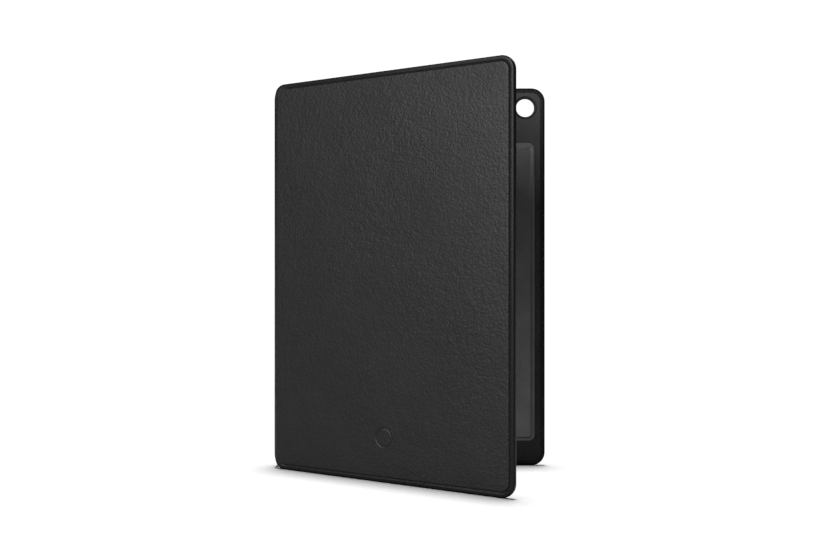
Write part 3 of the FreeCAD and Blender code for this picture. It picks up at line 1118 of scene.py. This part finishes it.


# Which bodies each sheet spans and where its folds end, listed; the sheets' transforms are baked in, and the
# pad goes with the tablet panel


def middle_of(path, s):
    """The point on a sheet's middle line at this distance, half way up."""
    return tuple(path.place(np.array([s]), np.array([HEIGHT / 2]), np.array([NEUTRAL]))[0])


for piece, hide, bodies, ends in (
        (front_hide, front, ("spine", "front_cover"), front.fold),
        (front_suede, front, ("spine", "front_cover"), front.fold),
        (stand_hide, stand, ("spine", "stand_panel"), stand.fold),
        (stand_suede, stand, ("spine", "stand_panel"), stand.fold),
        (tablet_hide, tablet, ("stand_panel", "tablet_panel"), tablet.stand),
        (tablet_suede, tablet, ("stand_panel", "tablet_panel"), tablet.stand)):
    middle_of(hide.path, ends[0])
    middle_of(hide.path, ends[1])
    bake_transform(piece)
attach(adhesive_pad, "tablet_panel")

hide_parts("front_leather", "front_fold_leather", "spine_leather")
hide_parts("stand_panel_leather", "rear_fold_leather")
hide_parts("tablet_panel_leather", "stand_fold_leather")
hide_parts("front_lining", "front_fold_lining", "spine_lining")
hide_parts("stand_panel_lining", "rear_fold_lining")
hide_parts("tablet_panel_lining", "stand_fold_lining")
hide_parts("tablet_pad")


# Floor, light and camera

def floor():
    """A large plain floor, which fades into the background."""
    reach = 12.0
    level = 0.86
    data = bpy.data.meshes.new("floor")
    corners = [(-reach, -reach, 0), (reach, -reach, 0), (reach, reach, 0), (-reach, reach, 0)]
    data.from_pydata(corners, [], [(0, 1, 2, 3)])
    made = add_object("floor", data)
    m = Nodes("pale_floor")
    m.set(Base_Color=(level, level, level, 1), Roughness=0.9, Specular_IOR_Level=0.1)
    data.materials.append(m.material)
    return made


def soft_light(name, place, aim, size, watts):
    """A square soft box."""
    data = bpy.data.lights.new(name, "AREA")
    data.shape = "RECTANGLE"
    data.size = size
    data.size_y = size
    data.energy = watts
    made = add_object(name, data)
    made.location = place
    made.rotation_mode = "QUATERNION"
    made.rotation_quaternion = (Vector(aim) - Vector(place)).to_track_quat("-Z", "Y")
    return made


def keep_to(light, surface, state):
    """Makes a light reach only this surface (INCLUDE), or everything else (EXCLUDE)."""
    group = bpy.data.collections.new(light.name + "_reach")
    group.objects.link(surface)
    light.light_linking.receiver_collection = group
    group.collection_objects[0].light_linking.link_state = state


def overhead():
    """A soft light straight above, which whitens the floor and leaves a narrow shadow under the case."""
    lean_front = math.radians(-1.8)
    lean_side = math.radians(-0.2)
    data = bpy.data.lights.new("overhead", "SUN")
    data.energy = 3.62
    data.angle = math.radians(9)
    made = add_object("overhead", data)
    made.location = (0, 0, 2)
    made.rotation_euler = (lean_front, lean_side, 0)
    return made


def world():
    """A white background that lights the case only faintly."""
    seen_level = 1.05
    light_level = 0.07
    made = bpy.data.worlds.new("studio")
    bpy.context.scene.world = made
    made.use_nodes = True
    tree = made.node_tree
    background = tree.nodes["Background"]
    background.inputs["Color"].default_value = (1, 1, 1, 1)
    seen = tree.nodes.new("ShaderNodeLightPath")
    level = tree.nodes.new("ShaderNodeMapRange")
    level.inputs["To Min"].default_value = light_level
    level.inputs["To Max"].default_value = seen_level
    tree.links.new(seen.outputs["Is Camera Ray"], level.inputs["Value"])
    tree.links.new(level.outputs["Result"], background.inputs["Strength"])


def camera():
    """Level with the case's middle, square to its back, 664 mm in front of the spine."""
    data = bpy.data.cameras.new("camera")
    data.sensor_width = 36.0
    data.lens = 45.87
    data.shift_y = 0.0043
    data.clip_start = 0.01
    data.clip_end = 100.0
    made = add_object("camera", data)
    made.location = (X0 + 91.8 * MM, Y0 + SPINE_FRONT - 664 * MM, 119.4 * MM)
    made.rotation_euler = (math.pi / 2, 0, math.radians(0.4))
    bpy.context.scene.camera = made


ground = floor()
world()
middle = (X0 + WIDTH / 2, Y0 + SPINE_FRONT, HEIGHT / 2)
key = soft_light("key", (-1.12, -1.42, 0.92), middle, size=1.15, watts=106.0)
back_fill = soft_light("back_fill", (0.2, 1.25, 1.5), middle, size=1.3, watts=34.0)
keep_to(key, ground, "EXCLUDE")
keep_to(back_fill, ground, "EXCLUDE")
keep_to(overhead(), ground, "INCLUDE")
camera()
scene = bpy.context.scene
scene.view_settings.view_transform = "Standard"
